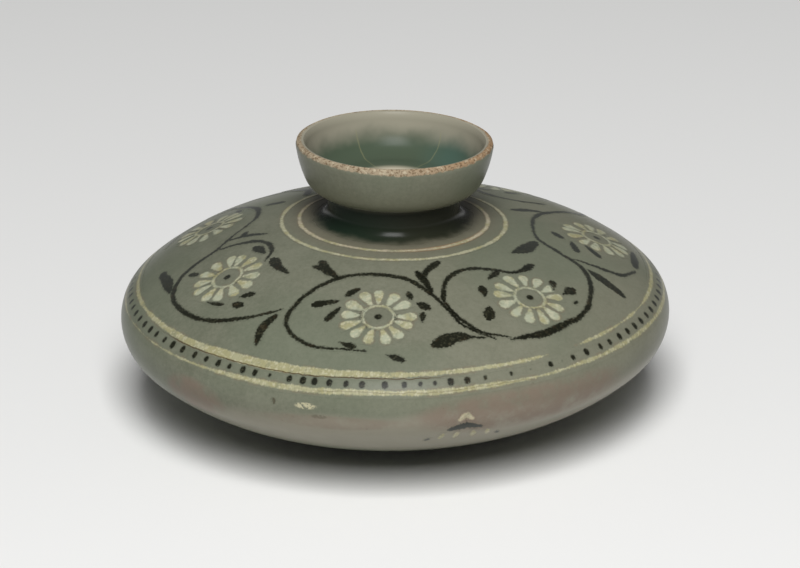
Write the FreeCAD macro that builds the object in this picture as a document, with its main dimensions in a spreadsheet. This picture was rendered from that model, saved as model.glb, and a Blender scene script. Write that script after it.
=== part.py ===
# Korean celadon oil bottle: a flat globular stoneware bottle with a cup-shaped mouth, put together from
# turned clay pieces and inlaid with white and black slip.
# Millimetres, +Z up, origin on the table under the middle of the foot, front towards -Y.
import FreeCAD, Part
import Sketcher
import math
import os

doc = FreeCAD.newDocument("celadon_oil_bottle")

# Driving sizes. Turns are the angles, from level, at which one arc of the outline passes into the next.
SIZES = [
    ("body_radius", 45.0),
    ("widest_height", 16.6),
    ("wall", 3.5),
    ("shoulder_edge_arc", 6.26),
    ("shoulder_arc", 34.95),
    ("dome_arc", 67.9),
    ("shoulder_edge_turn", 48.6),
    ("shoulder_turn", 66.3),
    ("belly_edge_arc", 6.82),
    ("belly_arc", 35.96),
    ("base_arc", 63.7),
    ("belly_edge_turn", 48.1),
    ("belly_turn", 65.4),
    ("foot_radius", 18.8),
    ("foot_flare", 0.7),
    ("foot_width", 3.0),
    ("foot_recess", 1.0),
    ("throat_radius", 5.0),
    ("neck_base_radius", 13.0),
    ("neck_radius", 10.75),
    ("neck_base_arc", 2.2),
    ("neck_length", 4.9),
    ("cup_seat_radius", 10.95),
    ("cup_height", 7.7),
    ("cup_rim_radius", 16.05),
    ("cup_wall_arc", 20.6),
    ("cup_round_arc", 3.9),
    ("cup_rim_turn", 7.9),
    ("cup_floor", 1.8),
    ("cup_corner_arc", 4.6),
    ("throat_edge_arc", 0.6),
    ("lip_arc", 0.78),
    ("inlay_depth", 0.6),
    ("ring_width", 0.5),
    ("ring_inner_radius", 15.4),
    ("ring_outer_radius", 18.3),
    ("band_upper_turn", 50.4),
    ("band_lower_turn", 30.6),
    ("band_width", 0.9),
    ("dot_radius", 0.5),
    ("dot_turn", 43.0),
    ("vine_width", 0.9),
    ("flower_ring_radius", 2.5),
    ("flower_ring_width", 0.5),
    ("flower_eye_radius", 0.6),
    ("petal_inner_radius", 3.0),
    ("petal_outer_radius", 5.85),
    ("petal_tip_radius", 0.72),
    ("petal_root_radius", 0.3),
    ("spur_radius", 1.1),
    ("spur_height", 0.5),
    ("spur_circle_radius", 9.0),
]
DOT_COUNT = 105
PETAL_COUNT = 13
SPUR_COUNT = 3
SPUR_TAPER = 0.8

sheet = doc.addObject("Spreadsheet::Sheet", "sizes")
for row, (alias, number) in enumerate(SIZES, start=1):
    sheet.set(f"A{row}", alias)
    sheet.set(f"B{row}", str(number))
    sheet.setAlias(f"B{row}", alias)
doc.recompute()


class Size:
    """A number together with the sheet formula that it comes from."""

    def __init__(self, value, text):
        self.value = float(value)
        self.text = text

    def __add__(self, other):
        other = as_size(other)
        return Size(self.value + other.value, f"({self.text} + {other.text})")

    def __sub__(self, other):
        other = as_size(other)
        return Size(self.value - other.value, f"({self.text} - {other.text})")

    def __mul__(self, other):
        other = as_size(other)
        return Size(self.value * other.value, f"({self.text} * {other.text})")

    def __rsub__(self, other):
        return as_size(other) - self

    def __truediv__(self, other):
        return Size(self.value / other.value, f"({self.text} / {other.text})")

    __radd__ = __add__
    __rmul__ = __mul__


def as_size(item):
    return item if isinstance(item, Size) else Size(item, repr(float(item)))


def cos(turn):
    turn = as_size(turn)
    return Size(math.cos(math.radians(turn.value)), f"cos({turn.text})")


def sin(turn):
    turn = as_size(turn)
    return Size(math.sin(math.radians(turn.value)), f"sin({turn.text})")


def other_leg(long_side, leg):
    """The second leg of a right triangle."""
    value = math.sqrt(long_side.value ** 2 - leg.value ** 2)
    return Size(value, f"sqrt({long_side.text} * {long_side.text} - {leg.text} * {leg.text})")


def cell(alias):
    return Size(sheet.get(alias), f"sizes.{alias}")


body_radius = cell("body_radius")
widest_height = cell("widest_height")
wall = cell("wall")
throat_radius = cell("throat_radius")
neck_base_radius = cell("neck_base_radius")
inlay_depth = cell("inlay_depth")


class Shell:
    """Three tangent arcs from the widest circle up (side 1) or down (side -1), and their parallels."""

    def __init__(self, side, arcs, turns):
        self.side = side
        self.arcs = [cell(alias) for alias in arcs]
        self.turns = [cell(alias) for alias in turns]
        centre = (body_radius - self.arcs[0], widest_height)
        self.centres = [centre]
        for before, after, turn in zip(self.arcs, self.arcs[1:], self.turns):
            step = after - before
            centre = (centre[0] - step * cos(turn), centre[1] - side * (step * sin(turn)))
            self.centres.append(centre)

    def joint(self, number, offset):
        """Where arc number passes into the next, on the parallel that lies offset further out."""
        radius = self.arcs[number] + offset
        centre = self.centres[number]
        turn = self.turns[number]
        return (centre[0] + radius * cos(turn), centre[1] + self.side * (radius * sin(turn)))

    def height(self, at_radius, offset, number=2):
        """Height of the parallel at a distance from the axis, on arc number."""
        radius = self.arcs[number] + offset
        centre = self.centres[number]
        return centre[1] + self.side * other_leg(radius, at_radius - centre[0])

    def climb(self, offset, end_radius):
        """Outline from the widest circle to the end radius."""
        start = (body_radius + offset, widest_height)
        end = (end_radius, self.height(end_radius, offset))
        radii = [arc + offset for arc in self.arcs]
        points = [self.joint(0, offset), self.joint(1, offset), end]
        return start, [("arc", point, radius, centre)
                       for point, radius, centre in zip(points, radii, self.centres)]

    def descend(self, offset, end_radius):
        """The same outline walked from the end radius back to the widest circle."""
        start, steps = self.climb(offset, end_radius)
        points = [start] + [step[1] for step in steps]
        back = [("arc", points[i], steps[i][2], steps[i][3]) for i in (2, 1, 0)]
        return points[3], back


dome = Shell(1, ["shoulder_edge_arc", "shoulder_arc", "dome_arc"], ["shoulder_edge_turn", "shoulder_turn"])
belly = Shell(-1, ["belly_edge_arc", "belly_arc", "base_arc"], ["belly_edge_turn", "belly_turn"])


def line(radius, height):
    return ("line", (as_size(radius), as_size(height)), None, None)


def pin(sketch, item, end, point):
    """Holds a point of the sketch at its distance from the axis and its height."""
    for name, axis, size in (("DistanceX", -2, point[0]), ("DistanceY", -1, point[1])):
        if abs(size.value) < 1e-9:
            sketch.addConstraint(Sketcher.Constraint("PointOnObject", item, end, axis))
        else:
            number = sketch.addConstraint(Sketcher.Constraint(name, -1, 1, item, end, size.value))
            sketch.setExpression(f"Constraints[{number}]", size.text)


def turned(name, start, steps):
    """A body spun about the bottle's axis from a closed outline of lines and arcs."""
    body = doc.addObject("PartDesign::Body", name)
    sketch = body.newObject("Sketcher::SketchObject", name + "_outline")
    plane = [item for item in body.Origin.OriginFeatures if item.Role == "XZ_Plane"][0]
    sketch.AttachmentSupport = (plane, [""])
    sketch.MapMode = "FlatFace"
    here = start
    last_item, last_end = None, None
    first_item, first_end = None, None
    for kind, point, radius, centre in steps:
        a = FreeCAD.Vector(here[0].value, here[1].value, 0)
        b = FreeCAD.Vector(point[0].value, point[1].value, 0)
        if kind == "line":
            item = sketch.addGeometry(Part.LineSegment(a, b), False)
            begin, end = 1, 2
        else:
            middle = FreeCAD.Vector(centre[0].value, centre[1].value, 0)
            circle = Part.Circle(middle, FreeCAD.Vector(0, 0, 1), radius.value)
            first = math.atan2(a.y - middle.y, a.x - middle.x)
            last = math.atan2(b.y - middle.y, b.x - middle.x)
            turn = (last - first) % (2 * math.pi)
            onwards = turn < math.pi
            ends = (first, last) if onwards else (last, first)
            item = sketch.addGeometry(Part.ArcOfCircle(circle, *ends), False)
            begin, end = (1, 2) if onwards else (2, 1)
            number = sketch.addConstraint(Sketcher.Constraint("Radius", item, radius.value))
            sketch.setExpression(f"Constraints[{number}]", radius.text)
        if last_item is None:
            first_item, first_end = item, begin
        else:
            sketch.addConstraint(Sketcher.Constraint("Coincident", last_item, last_end, item, begin))
        pin(sketch, item, end, point)
        last_item, last_end = item, end
        here = point
    sketch.addConstraint(Sketcher.Constraint("Coincident", last_item, last_end, first_item, first_end))
    spin = body.newObject("PartDesign::Revolution", name + "_turning")
    spin.Profile = sketch
    spin.ReferenceAxis = (sketch, ["V_Axis"])
    spin.Angle = 360
    body.Tip = spin
    sketch.Visibility = False
    return body


# Lower bowl: belly, trimmed foot ring and the shallow recess under the base, thrown and turned in one.
foot_radius = cell("foot_radius")
foot_top_radius = foot_radius + cell("foot_flare")
foot_inner_radius = foot_radius - cell("foot_width")
foot_recess = cell("foot_recess")
floor_radius = belly.centres[2][0]
floor_height = belly.centres[2][1] - (belly.arcs[2] - wall)
belly_start, belly_steps = belly.climb(0, foot_top_radius)
inner_start, inner_steps = belly.descend(-1 * wall, floor_radius)
lower_blank = turned(
    "lower_blank",
    belly_start,
    belly_steps
    + [
        line(foot_radius, 0),
        line(foot_inner_radius, 0),
        line(foot_inner_radius, foot_recess),
        line(0, foot_recess),
        line(0, floor_height),
        line(floor_radius, floor_height),
    ]
    + inner_steps
    + [line(body_radius, widest_height)],
)

# Upper bowl: the shoulder dome, luted rim to rim on the lower bowl and cut flat where the neck stands.
seat_height = dome.height(neck_base_radius, 0)
dome_start, dome_steps = dome.climb(0, neck_base_radius)
ceiling_start, ceiling_steps = dome.descend(-1 * wall, throat_radius)
upper_blank = turned(
    "upper_blank",
    dome_start,
    dome_steps
    + [line(throat_radius, seat_height), line(*ceiling_start)]
    + ceiling_steps
    + [line(body_radius, widest_height)],
)

# Neck: a short waisted ring of clay standing on the shoulder.
neck_radius = cell("neck_radius")
neck_base_arc = cell("neck_base_arc")
neck_length = cell("neck_length")
cup_seat_radius = cell("cup_seat_radius")
cup_seat_height = seat_height + neck_length
flare = neck_base_radius - neck_radius
flare_height = other_leg(neck_base_arc, neck_base_arc - flare)
neck = turned(
    "neck",
    (throat_radius, seat_height),
    [
        line(neck_base_radius, seat_height),
        (
            "arc",
            (neck_radius, seat_height + flare_height),
            neck_base_arc,
            (neck_radius + neck_base_arc, seat_height + flare_height),
        ),
        line(cup_seat_radius, cup_seat_height),
        line(throat_radius, cup_seat_height),
        line(throat_radius, seat_height),
    ],
)

# Mouth cup: a small round-sided bowl with a pierced floor, luted on the neck. Its lip is left bare.
rim_radius = cell("cup_rim_radius")
wall_arc = cell("cup_wall_arc")
rim_turn = cell("cup_rim_turn")
lip_arc = cell("lip_arc")
throat_edge_arc = cell("throat_edge_arc")
rim_height = cup_seat_height + cell("cup_height")
wall_centre = (rim_radius - wall_arc * cos(rim_turn), rim_height + wall_arc * sin(rim_turn))
lip_centre = (rim_radius - lip_arc * cos(rim_turn), rim_height + lip_arc * sin(rim_turn))
lip_top = (lip_centre[0], lip_centre[1] + lip_arc)
lip_inner = (lip_centre[0] - lip_arc * cos(rim_turn), lip_centre[1] + lip_arc * sin(rim_turn))
floor_top = cup_seat_height + cell("cup_floor")


def rounded_foot(side_arc, foot_arc, level):
    """Where the cup's side arc passes into a foot arc that ends level, and the centre of the foot arc."""
    centre_height = level + foot_arc
    reach = other_leg(side_arc - foot_arc, wall_centre[1] - centre_height)
    centre = (wall_centre[0] + reach, centre_height)
    share = side_arc / (side_arc - foot_arc)
    meet = (wall_centre[0] + reach * share, wall_centre[1] - (wall_centre[1] - centre_height) * share)
    return meet, centre


round_arc = cell("cup_round_arc")
corner_arc = cell("cup_corner_arc")
inner_arc = wall_arc - 2 * lip_arc
outer_meet, outer_centre = rounded_foot(wall_arc, round_arc, cup_seat_height)
inner_meet, inner_centre = rounded_foot(inner_arc, corner_arc, floor_top)
throat_edge = (throat_radius + throat_edge_arc, floor_top - throat_edge_arc)
mouth_cup = turned(
    "mouth_cup",
    (throat_radius, cup_seat_height),
    [
        line(outer_centre[0], cup_seat_height),
        ("arc", outer_meet, round_arc, outer_centre),
        ("arc", (rim_radius, rim_height), wall_arc, wall_centre),
        ("arc", lip_top, lip_arc, lip_centre),
        ("arc", lip_inner, lip_arc, lip_centre),
        ("arc", inner_meet, inner_arc, wall_centre),
        ("arc", (inner_centre[0], floor_top), corner_arc, inner_centre),
        line(throat_edge[0], floor_top),
        ("arc", (throat_radius, throat_edge[1]), throat_edge_arc, throat_edge),
        line(throat_radius, cup_seat_height),
    ],
)

# The slip inlays lie in carvings, so each is cut from the outermost layer of its bowl, as deep as the carving.
def carved_layer(name, shell, end_radius):
    start, outward = shell.climb(0, end_radius)
    deep_start, inward = shell.descend(-1 * inlay_depth, end_radius)
    return turned(name, start, outward + [line(*deep_start)] + inward + [line(*start)])


upper_layer = carved_layer("upper_layer", dome, neck_base_radius)
lower_layer = carved_layer("lower_layer", belly, foot_top_radius)
proud = 1.0
dome_rise = (seat_height - widest_height).value


def on_plan(azimuth, share):
    """A point of the scroll seen from above: degrees round from the front, share of the body radius."""
    turn = math.radians(azimuth)
    reach = share * body_radius.value
    return FreeCAD.Vector(reach * math.sin(turn), -reach * math.cos(turn), 0)


stroke_tip = 0.3
stroke_fullness = 0.6
least_bow = 0.001


def stroke(points, width):
    """Outline of a brush-like stroke through points given by hand, drawn in towards both its tips."""
    curve = Part.BSplineCurve()
    curve.interpolate(points)
    spans = len(points) - 1
    first, last = curve.FirstParameter, curve.LastParameter
    sides = ([], [])
    for step in range(2 * spans + 1):
        share = step / (2 * spans)
        spot = first + share * (last - first)
        along = curve.tangent(spot)[0]
        across = FreeCAD.Vector(-along.y, along.x, 0)
        half = width / 2 * (stroke_tip + (1 - stroke_tip) * math.sin(math.pi * share) ** stroke_fullness)
        for side, sign in zip(sides, (1, -1)):
            side.append(curve.value(spot) + across * (sign * half))
    left, right = sides
    edges = smooth_side(left)
    edges.append(Part.LineSegment(left[-1], right[-1]).toShape())
    edges += smooth_side(right[::-1])
    edges.append(Part.LineSegment(right[0], left[0]).toShape())
    return Part.Face(Part.Wire(edges))


def smooth_side(points):
    """Arcs through every other point of one side of a stroke."""
    edges = []
    for start, middle, end in zip(points[:-2:2], points[1:-1:2], points[2::2]):
        bow = middle.distanceToLine(start, end - start)
        if bow < least_bow:
            edges.append(Part.LineSegment(start, end).toShape())
        else:
            edges.append(Part.Arc(start, middle, end).toShape())
    return edges


def upright_prisms(strokes):
    """Strokes of one piece carried straight up through the shoulder, joined where they cross."""
    bars = []
    for width, points in strokes:
        face = stroke([on_plan(*point) for point in points], width)
        face.translate(FreeCAD.Vector(0, 0, widest_height.value))
        bars.append(face.extrude(FreeCAD.Vector(0, 0, dome_rise + proud)))
    if len(bars) == 1:
        return bars[0]
    return bars[0].multiFuse(bars[1:])


def surface_frame(shell, azimuth, share):
    """Place on the shell with its own Z along the surface's normal and its Y uphill."""
    reach = share * body_radius.value
    for number in (2, 1, 0):
        centre = shell.centres[number]
        arc = shell.arcs[number].value
        lean = math.degrees(math.acos(min(1, (reach - centre[0].value) / arc)))
        if number == 0 or lean >= shell.turns[number - 1].value:
            break
    height = centre[1].value + shell.side * arc * math.sin(math.radians(lean))
    spot = on_plan(azimuth, share)
    spot.z = height
    tip = FreeCAD.Rotation(FreeCAD.Vector(1, 0, 0), 90 - shell.side * lean)
    swing = FreeCAD.Rotation(FreeCAD.Vector(0, 0, 1), azimuth)
    return FreeCAD.Placement(spot, swing * tip)


# Chrysanthemum: one carved ring and thirteen petals, wide and round at the tip and narrow at the root.
reach_up = 3.0


def petal_face():
    root = sheet.get("petal_root_radius")
    tip = sheet.get("petal_tip_radius")
    near = sheet.get("petal_inner_radius") + root
    far = sheet.get("petal_outer_radius") - tip
    lean = math.asin((tip - root) / (far - near))
    rise, run = math.cos(lean), math.sin(lean)
    root_left = FreeCAD.Vector(near - root * run, root * rise, 0)
    tip_left = FreeCAD.Vector(far - tip * run, tip * rise, 0)
    root_right = FreeCAD.Vector(root_left.x, -root_left.y, 0)
    tip_right = FreeCAD.Vector(tip_left.x, -tip_left.y, 0)
    edges = [
        Part.LineSegment(root_left, tip_left).toShape(),
        Part.Arc(tip_left, FreeCAD.Vector(far + tip, 0, 0), tip_right).toShape(),
        Part.LineSegment(tip_right, root_right).toShape(),
        Part.Arc(root_right, FreeCAD.Vector(near - root, 0, 0), root_left).toShape(),
    ]
    return Part.Face(Part.Wire(edges))


def flower_prisms():
    outer = sheet.get("flower_ring_radius") + sheet.get("flower_ring_width") / 2
    inner = outer - sheet.get("flower_ring_width")
    base = FreeCAD.Vector(0, 0, -reach_up)
    ring = Part.makeCylinder(outer, 2 * reach_up, base)
    ring = ring.cut(Part.makeCylinder(inner, 2 * reach_up, base))
    petal = petal_face().extrude(FreeCAD.Vector(0, 0, 2 * reach_up))
    petal.translate(base)
    solids = [ring]
    for number in range(PETAL_COUNT):
        copy = petal.copy()
        copy.rotate(FreeCAD.Vector(), FreeCAD.Vector(0, 0, 1), 90 + number * 360 / PETAL_COUNT)
        solids.append(copy)
    return Part.makeCompound(solids)


def eye_prism():
    return Part.makeCylinder(sheet.get("flower_eye_radius"), 2 * reach_up, FreeCAD.Vector(0, 0, -reach_up))


pieces = []
filled = {upper_layer: [], lower_layer: []}


def inlay(name, shape, layer=upper_layer, placement=None):
    """One piece of slip: the share of the carved layer that lies within the tool's shape."""
    tool = doc.addObject("Part::Feature", name + "_tool")
    tool.Shape = shape
    if placement is not None:
        tool.Placement = placement
    piece = doc.addObject("Part::Common", name)
    piece.Base = layer
    piece.Tool = tool
    piece.Refine = False
    filled[layer].append(piece)
    pieces.append(piece)
    return piece


def upright_ring(radius, width):
    """A slip-filled line all the way round, as a tube through the shoulder."""
    base = FreeCAD.Vector(0, 0, widest_height.value)
    outer = Part.makeCylinder(radius + width / 2, dome_rise + proud, base)
    return outer.cut(Part.makeCylinder(radius - width / 2, dome_rise + proud, base))


def slanted_ring(number, turn, width):
    """A line all the way round, cut square to the shoulder's arc of this number at the given turn."""
    centre = dome.centres[number]
    arc = dome.arcs[number].value
    half = math.degrees(width / 2 / arc)
    corners = []
    for reach, lean in ((arc - proud, -half), (arc + proud, -half), (arc + proud, half), (arc - proud, half)):
        angle = math.radians(turn + lean)
        corners.append(FreeCAD.Vector(centre[0].value + reach * math.cos(angle), 0,
                                      centre[1].value + reach * math.sin(angle)))
    face = Part.Face(Part.makePolygon(corners + corners[:1]))
    return face.revolve(FreeCAD.Vector(), FreeCAD.Vector(0, 0, 1), 360)


ring_width = sheet.get("ring_width")
band_width = sheet.get("band_width")
inlay("shoulder_ring_inner", upright_ring(sheet.get("ring_inner_radius"), ring_width))
inlay("shoulder_ring_outer", upright_ring(sheet.get("ring_outer_radius"), ring_width))
inlay("band_line_upper", slanted_ring(1, sheet.get("band_upper_turn"), band_width))
inlay("band_line_lower", slanted_ring(0, sheet.get("band_lower_turn"), band_width))

# Row of black dots between the band's two lines, each pushed in square to the surface.
edge_radius, edge_height = dome.centres[0]
dot_reach = (dome.arcs[0] - inlay_depth).value
dot = Part.makeCylinder(sheet.get("dot_radius"), proud + inlay_depth.value)
dot.translate(FreeCAD.Vector(0, 0, dot_reach - proud / 2))
dot.rotate(FreeCAD.Vector(), FreeCAD.Vector(1, 0, 0), 90 - sheet.get("dot_turn"))
dot.translate(FreeCAD.Vector(0, -edge_radius.value, edge_height.value))
doc.recompute()
first_dot = upper_layer.Shape.common(dot)
dots = []
for number in range(DOT_COUNT):
    copy = first_dot.copy()
    copy.rotate(FreeCAD.Vector(), FreeCAD.Vector(0, 0, 1), number * 360 / DOT_COUNT)
    dots.append(copy)
band_dots = doc.addObject("Part::Feature", "band_dots")
band_dots.Shape = Part.makeCompound(dots)
filled[upper_layer].append(band_dots)
pieces.append(band_dots)

# The seven flowers, numbered from the front to the right and round: azimuth and share of the body radius.
FLOWERS = [(-4.7, 0.715), (41.2, 0.722), (95, 0.742), (148, 0.72), (201.5, 0.715), (255, 0.70),
           (299.7, 0.685)]
for number, (azimuth, share) in enumerate(FLOWERS, start=1):
    frame = surface_frame(dome, azimuth, share)
    inlay(f"flower_{number}", flower_prisms(), placement=frame)
    inlay(f"flower_eye_{number}", eye_prism(), placement=frame)

# The scroll: stems and leaves of each flower, drawn by hand as (azimuth, share) points from root to tip.
# The three flowers at the back repeat those of the front, turned round to their own place.
FRONT_STEMS = [
    [(-7, 0.857), (-20, 0.853), (-28, 0.80), (-30.2, 0.72), (-27, 0.61), (-19, 0.53), (-8, 0.503),
     (4, 0.525), (11.5, 0.605), (15.5, 0.70), (18, 0.78), (24.5, 0.848)],
    [(12.3, 0.62), (11, 0.53), (9.5, 0.485)],
    [(11, 0.54), (13, 0.49), (21, 0.437)],
]
FRONT_LEAVES = [
    (1.7, [(-33.5, 0.468), (-27, 0.515), (-21, 0.543)]),
    (1.4, [(-24.5, 0.685), (-17.5, 0.655)]),
    (1.2, [(-18.7, 0.745), (-16.3, 0.68)]),
    (1.4, [(-15.7, 0.625), (-12, 0.585)]),
    (1.0, [(4.7, 0.60), (5.2, 0.635)]),
    (1.5, [(7, 0.655), (10, 0.685)]),
    (1.0, [(7.3, 0.745), (8, 0.70)]),
    (2.4, [(8.5, 0.84), (12, 0.82), (15.5, 0.80)]),
    (1.0, [(-13.5, 0.83), (-9.5, 0.845)]),
    (1.0, [(-2, 0.87), (2, 0.89)]),
]
RIGHT_STEMS = [
    [(15.6, 0.64), (18, 0.57), (24, 0.52), (32, 0.51), (40, 0.545), (46, 0.592), (56, 0.598)],
    [(28, 0.86), (40, 0.868), (52, 0.85), (62, 0.79), (68.5, 0.72), (72.5, 0.62), (78, 0.535), (86, 0.507)],
]
RIGHT_LEAVES = [
    (0.9, [(41, 0.56), (34.5, 0.585)]),
    (1.3, [(28.5, 0.655), (30, 0.615)]),
    (1.4, [(25.3, 0.765), (27.5, 0.715)]),
    (1.0, [(50.5, 0.73), (53.5, 0.695)]),
    (1.4, [(51.5, 0.762), (56, 0.762)]),
    (2.1, [(69.3, 0.74), (68.5, 0.80), (68, 0.885)]),
    (2.0, [(57, 0.503), (66, 0.52), (75, 0.53)]),
]
SIDE_STEMS = [
    [(86, 0.507), (97, 0.51), (106, 0.545), (111, 0.60), (115, 0.70), (118, 0.79), (124, 0.85)],
    [(71.5, 0.68), (74.8, 0.80), (78, 0.85), (84, 0.875)],
]
SIDE_LEAVES = [
    (1.5, [(85.5, 0.615), (89.5, 0.575)]),
    (1.4, [(78, 0.675), (84.5, 0.645)]),
    (1.3, [(80.5, 0.75), (85, 0.695)]),
    (1.6, [(111.5, 0.465), (112.5, 0.53), (112, 0.585)]),
    (1.6, [(86, 0.875), (97, 0.88)]),
]
LEFT_STEMS = [
    [(-92, 0.54), (-86, 0.59), (-80.5, 0.65), (-78.3, 0.72), (-75, 0.79), (-69, 0.85), (-60, 0.867),
     (-50, 0.853), (-41, 0.80), (-34.5, 0.745), (-30.8, 0.70)],
    [(-80, 0.65), (-77, 0.57), (-72, 0.51), (-65, 0.49), (-58, 0.515), (-55.3, 0.56)],
    [(-84, 0.60), (-81.5, 0.53), (-77, 0.47)],
]
LEFT_LEAVES = [
    (1.2, [(-85.5, 0.535), (-82.5, 0.55)]),
    (1.3, [(-68.5, 0.535), (-60, 0.53)]),
    (1.4, [(-53.5, 0.537), (-48, 0.557), (-41, 0.57)]),
    (1.3, [(-48.5, 0.73), (-45, 0.695)]),
    (1.3, [(-48.5, 0.765), (-45, 0.76)]),
    (1.0, [(-34.3, 0.76), (-34.6, 0.82), (-33.3, 0.885)]),
    (1.3, [(-73.5, 0.765), (-71, 0.745)]),
    (1.8, [(-84, 0.845), (-76, 0.84), (-71, 0.852)]),
]
FAR_STEMS = [
    [(-128, 0.80), (-124, 0.70), (-119, 0.60), (-113, 0.54), (-105, 0.512), (-98, 0.512), (-92, 0.54)],
    [(-124.5, 0.71), (-121, 0.80), (-114, 0.85), (-104, 0.865)],
]
FAR_LEAVES = [
    (1.5, [(-121, 0.47), (-118, 0.53)]),
    (1.3, [(-119, 0.66), (-115.5, 0.625)]),
]


def turned_on(angle, lines):
    return [[(azimuth + angle, share) for azimuth, share in points] for points in lines]


def leaves_turned_on(angle, leaves):
    return [(width, [(azimuth + angle, share) for azimuth, share in points]) for width, points in leaves]


repeat_right = FLOWERS[3][0] - FLOWERS[1][0]
repeat_front = FLOWERS[4][0] - FLOWERS[0][0]
SCROLL = [
    (FRONT_STEMS, FRONT_LEAVES),
    (RIGHT_STEMS, RIGHT_LEAVES),
    (SIDE_STEMS, SIDE_LEAVES),
    (turned_on(repeat_right, RIGHT_STEMS), leaves_turned_on(repeat_right, RIGHT_LEAVES)),
    (turned_on(repeat_front, FRONT_STEMS), leaves_turned_on(repeat_front, FRONT_LEAVES)),
    (FAR_STEMS, FAR_LEAVES),
    (LEFT_STEMS, LEFT_LEAVES),
]
vine_width = sheet.get("vine_width")
drawn = []


def clear_of(shape, others):
    """The shape less whatever earlier strokes already fill."""
    near = [other for other in others if other.BoundBox.intersect(shape.BoundBox)]
    return shape.cut(near) if near else shape


for kind, part in (("vine", 0), ("leaves", 1)):
    for number, unit in enumerate(SCROLL, start=1):
        strokes = [(vine_width, points) for points in unit[0]] if part == 0 else unit[1]
        shape = clear_of(upright_prisms(strokes), drawn)
        drawn.append(shape)
        inlay(f"{kind}_{number}", shape)

# Sprays on the belly below the band: a white crown over a black wing leaf, white stalks and two black tips.
# Points are millimetres to the right of the spray's middle and up from the widest circle.
SPRAY_AZIMUTHS = [14, 134, 254]
SPRAY_WHITE = [
    (1.1, [(-1.1, -1.7), (0, -0.9), (1.1, -1.7)]),
    (0.8, [(-3.4, -4.6), (-3.7, -6.8)]),
    (0.8, [(-1.2, -4.5), (-1.3, -6.9)]),
    (0.8, [(1.5, -4.5), (1.6, -6.9)]),
    (0.8, [(3.8, -4.6), (4.1, -6.8)]),
]
SPRAY_BLACK = [
    (1.2, [(-2.7, -3.5), (0, -2.9), (2.7, -3.5)]),
    (0.7, [(-5.5, -6.2), (-5.9, -7.3)]),
    (0.7, [(5.7, -6.2), (6.1, -7.3)]),
]
spray_start_share = 0.8
spray_start = spray_start_share * body_radius.value
spray_reach = body_radius.value + proud - spray_start


def spray_prisms(strokes):
    """The strokes carried straight in from the side, once for each spray round the belly."""
    bars = []
    outward = FreeCAD.Rotation(FreeCAD.Vector(1, 0, 0), 90)
    for azimuth in SPRAY_AZIMUTHS:
        swing = FreeCAD.Rotation(FreeCAD.Vector(0, 0, 1), azimuth)
        for width, points in strokes:
            face = stroke([FreeCAD.Vector(x, y, spray_start) for x, y in points], width)
            bar = face.extrude(FreeCAD.Vector(0, 0, spray_reach))
            bar.Placement = FreeCAD.Placement(FreeCAD.Vector(0, 0, widest_height.value), swing * outward)
            bars.append(bar)
    return Part.makeCompound(bars)


inlay("belly_sprays_white", spray_prisms(SPRAY_WHITE), layer=lower_layer)
inlay("belly_sprays_black", spray_prisms(SPRAY_BLACK), layer=lower_layer)


def carved_bowl(name, blank, layer):
    """The bowl with its carvings, which the inlays fill."""
    inlays = doc.addObject("Part::Compound", name + "_inlays")
    inlays.Links = filled[layer]
    bowl = doc.addObject("Part::Cut", name)
    bowl.Base = blank
    bowl.Tool = inlays
    bowl.Refine = False
    return bowl


lower_bowl = carved_bowl("lower_bowl", lower_blank, lower_layer)
upper_bowl = carved_bowl("upper_bowl", upper_blank, upper_layer)

# Stubs of the quartz spurs on which the bottle stood in the kiln, stuck under the recessed base.
stubs = []
for number in range(SPUR_COUNT):
    stub = doc.addObject("Part::Cone", f"spur_{number + 1}")
    turn = number * 360 / SPUR_COUNT
    stub.setExpression("Radius1", f"sizes.spur_radius * {SPUR_TAPER}")
    stub.setExpression("Radius2", "sizes.spur_radius")
    stub.setExpression("Height", "sizes.spur_height")
    stub.setExpression("Placement.Base.x", f"sizes.spur_circle_radius * cos({turn})")
    stub.setExpression("Placement.Base.y", f"sizes.spur_circle_radius * sin({turn})")
    stub.setExpression("Placement.Base.z", "sizes.foot_recess - sizes.spur_height")
    stubs.append(stub)
spur_stubs = doc.addObject("Part::Compound", "kiln_spur_stubs")
spur_stubs.Links = stubs

doc.recompute()
parts = [lower_bowl, upper_bowl, neck, mouth_cup] + pieces + [spur_stubs]
for item in doc.Objects:
    if "Invalid" in item.State or "Error" in item.State:
        raise RuntimeError(f"{item.Label} failed: {item.State}")
for item in parts:
    if item.Shape.isNull() or not item.Shape.isValid() or not item.Shape.Solids:
        raise RuntimeError(f"{item.Label} has no valid solid")
os.makedirs("parts", exist_ok=True)
for item in parts:
    item.Label = item.Name
    item.Shape.exportStep(f"parts/{item.Label}.step")
    print(item.Label, len(item.Shape.Solids), "solids", round(item.Shape.Volume, 2), "mm3")
whole = Part.makeCompound([item.Shape for item in parts]).BoundBox
print("size", round(whole.XLength, 2), round(whole.YLength, 2), round(whole.ZLength, 2), "from", round(whole.ZMin, 3))
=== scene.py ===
# Korean celadon oil bottle: a flat globular stoneware bottle with a cup-shaped mouth, inlaid with white
# and black slip under a grey-green glaze. Lengths are written in millimetres and laid out in metres.
import math

import bpy
from mathutils import Matrix, Vector, kdtree, noise


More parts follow.
